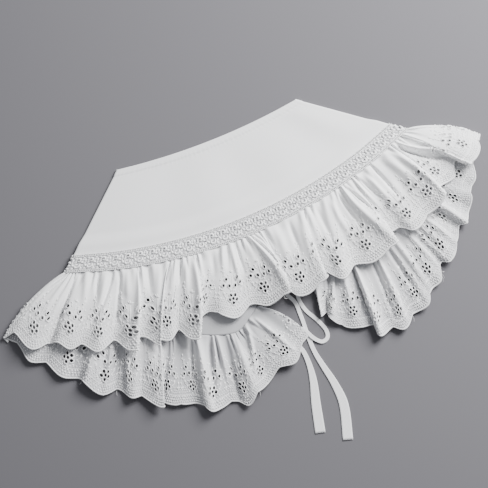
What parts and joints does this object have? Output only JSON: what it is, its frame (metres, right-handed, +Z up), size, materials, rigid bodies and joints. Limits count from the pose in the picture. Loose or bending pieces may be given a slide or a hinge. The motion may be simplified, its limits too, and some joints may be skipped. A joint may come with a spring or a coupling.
{
  "type": "false collar",
  "caption": "Cotton cape collar laid flat: plain yoke, embroidered braid, gathered eyelet ruffle with a scalloped hem, and tape ties.",
  "frame": {"origin": "on the surface that the collar lies on, under the middle of its outline without the ties", "axes": "+X across the shoulders, left to right as it lies; +Y from the ruffle towards the neck edge; +Z up, out of the front"},
  "size_m": [0.5729, 0.3757, 0.0196],
  "materials": {
    "white_cotton": "matt plain-woven white cotton",
    "embroidered_lace": "white cotton braid with raised satin stitch",
    "cotton_tape": "soft white woven tape"
  },
  "bodies": {
    "root": {"yoke_front": "white_cotton", "yoke_back_left": "white_cotton", "yoke_back_right": "white_cotton", "braid_front": "embroidered_lace", "braid_back_left": "embroidered_lace", "braid_back_right": "embroidered_lace", "ruffle_front": "white_cotton", "ruffle_back_left": "white_cotton", "ruffle_back_right": "white_cotton", "tie_left": "cotton_tape", "tie_right": "cotton_tape"}
  },
  "joints": []
}
